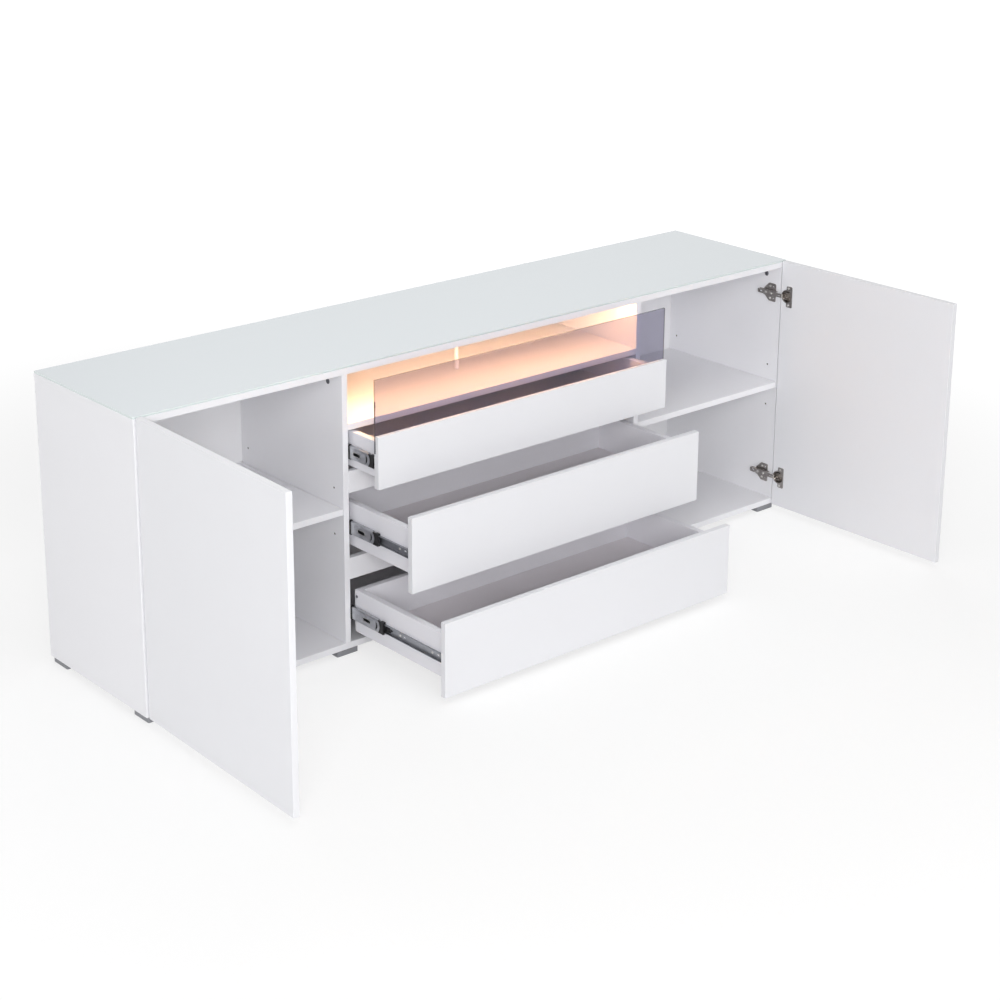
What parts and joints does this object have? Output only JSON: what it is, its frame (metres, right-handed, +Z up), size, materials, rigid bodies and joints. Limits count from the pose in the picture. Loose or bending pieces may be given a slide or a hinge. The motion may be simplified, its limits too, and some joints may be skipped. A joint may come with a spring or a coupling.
{
  "type": "sideboard",
  "caption": "Low white sideboard with a glass top, hinged doors on cup hinges, handleless drawers on ball slides and a lit niche behind a smoked glass strip.",
  "frame": {"origin": "on the floor, at the centre of the carcass footprint between the feet", "axes": "+X to the right seen from the front, the front faces -Y, +Z up; stored with doors and drawers open as pictured"},
  "size_m": [2.1172, 1.0106, 0.735],
  "materials": {
    "white_board": "white satin lacquer on board",
    "box_board": "white melamine on board",
    "white_hardboard": "white lacquered hardboard",
    "drawer_floor": "warm grey lacquered hardboard",
    "painted_glass": "glass sheet painted white on its back",
    "smoked_glass": "smoked grey float glass",
    "grey_foot": "grey moulded foot",
    "zinc": "dark cast zinc",
    "nickel": "nickel plated steel",
    "galvanised": "galvanised steel strip",
    "black_plastic": "black moulded stop",
    "aluminium": "anodised",
    "opal": "opal diffuser",
    "white_metal": "white lacquer"
  },
  "bodies": {
    "carcass": {"top_panel": "white_board", "side_left": "white_board", "side_right": "white_board", "divider_left": "white_board", "divider_right": "white_board", "bottom_panel": "white_board", "niche_floor": "white_board", "rail_lower": "white_board", "rail_upper": "white_board", "shelf_left": "white_board", "shelf_right": "white_board", "back_left": "white_hardboard", "back_center": "white_hardboard", "back_right": "white_hardboard", "top_glass": "painted_glass", "feet": "grey_foot", "cam_fittings": "zinc", "shelf_pins": "nickel", "hinge_plates": "nickel", "hinge_arms": "nickel", "hinge_screws": "nickel", "outer_rails_1": "galvanised", "outer_rails_2": "galvanised", "outer_rails_3": "galvanised", "led_profile": "aluminium", "led_diffuser": "opal", "niche_post": "white_metal"},
    "door_left": {"door_left": "white_board", "hinge_cups_left": "nickel", "hinge_pins_left": "nickel", "cup_screws_left": "nickel"},
    "door_right": {"door_right": "white_board", "hinge_cups_right": "nickel", "hinge_pins_right": "nickel", "cup_screws_right": "nickel"},
    "slide_1": {"mid_rails_1": "galvanised", "slide_stops_1": "black_plastic"},
    "drawer_1": {"drawer_1_front": "white_board", "drawer_1_sides": "box_board", "drawer_1_back": "box_board", "drawer_1_bottom": "drawer_floor", "drawer_1_screws": "nickel", "inner_rails_1": "galvanised", "smoked_pane": "smoked_glass"},
    "slide_2": {"mid_rails_2": "galvanised", "slide_stops_2": "black_plastic"},
    "drawer_2": {"drawer_2_front": "white_board", "drawer_2_sides": "box_board", "drawer_2_back": "box_board", "drawer_2_bottom": "drawer_floor", "drawer_2_screws": "nickel", "inner_rails_2": "galvanised"},
    "slide_3": {"mid_rails_3": "galvanised", "slide_stops_3": "black_plastic"},
    "drawer_3": {"drawer_3_front": "white_board", "drawer_3_sides": "box_board", "drawer_3_back": "box_board", "drawer_3_bottom": "drawer_floor", "drawer_3_screws": "nickel", "inner_rails_3": "galvanised"}
  },
  "joints": [
    {"name": "door_left_hinge", "type": "hinge", "parent": "carcass", "child": "door_left", "pos_m": [-1.0404, -0.2291, 0.37], "axis": [0, 0, -1], "range_deg": [-91.3, 3.7]},
    {"name": "door_right_hinge", "type": "hinge", "parent": "carcass", "child": "door_right", "pos_m": [1.0404, -0.2291, 0.37], "axis": [0, 0, 1], "range_deg": [-91.3, 3.7]},
    {"name": "slide_1_travel", "type": "slide", "parent": "carcass", "child": "slide_1", "axis": [0, -1, 0], "range_m": [-0.092, 0.043]},
    {"name": "drawer_1_travel", "type": "slide", "parent": "slide_1", "child": "drawer_1", "axis": [0, -1, 0], "range_m": [-0.0041, 0.2179]},
    {"name": "slide_2_travel", "type": "slide", "parent": "carcass", "child": "slide_2", "axis": [0, -1, 0], "range_m": [-0.106, 0.029]},
    {"name": "drawer_2_travel", "type": "slide", "parent": "slide_2", "child": "drawer_2", "axis": [0, -1, 0], "range_m": [-0.114, 0.108]},
    {"name": "slide_3_travel", "type": "slide", "parent": "carcass", "child": "slide_3", "axis": [0, -1, 0], "range_m": [-0.123, 0.012]},
    {"name": "drawer_3_travel", "type": "slide", "parent": "slide_3", "child": "drawer_3", "axis": [0, -1, 0], "range_m": [-0.2169, 0.0051]}
  ]
}
